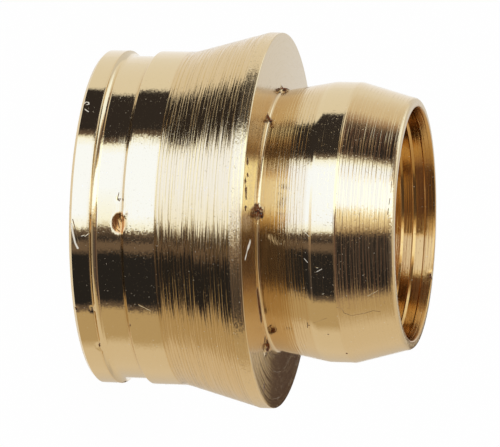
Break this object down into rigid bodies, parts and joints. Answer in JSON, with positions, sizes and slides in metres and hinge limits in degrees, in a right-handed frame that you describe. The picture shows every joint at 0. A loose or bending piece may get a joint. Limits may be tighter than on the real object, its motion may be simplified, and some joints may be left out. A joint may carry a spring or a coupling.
{
  "type": "compression olive",
  "caption": "Reducing compression olive: turned brass sleeve with a grooved tail, sealing cone, collar and tapered nose on one straight bore, to seal a smaller pipe in a larger fitting.",
  "frame": {"origin": "middle of the tail's end face, which the part stands on", "axes": "+Z along the bore's axis, from the tail towards the nose"},
  "size_m": [0.0248, 0.0248, 0.0207],
  "materials": {
    "turned_brass": "turned, with polished lands"
  },
  "bodies": {
    "root": {"compression_olive": "turned_brass"}
  },
  "joints": []
}
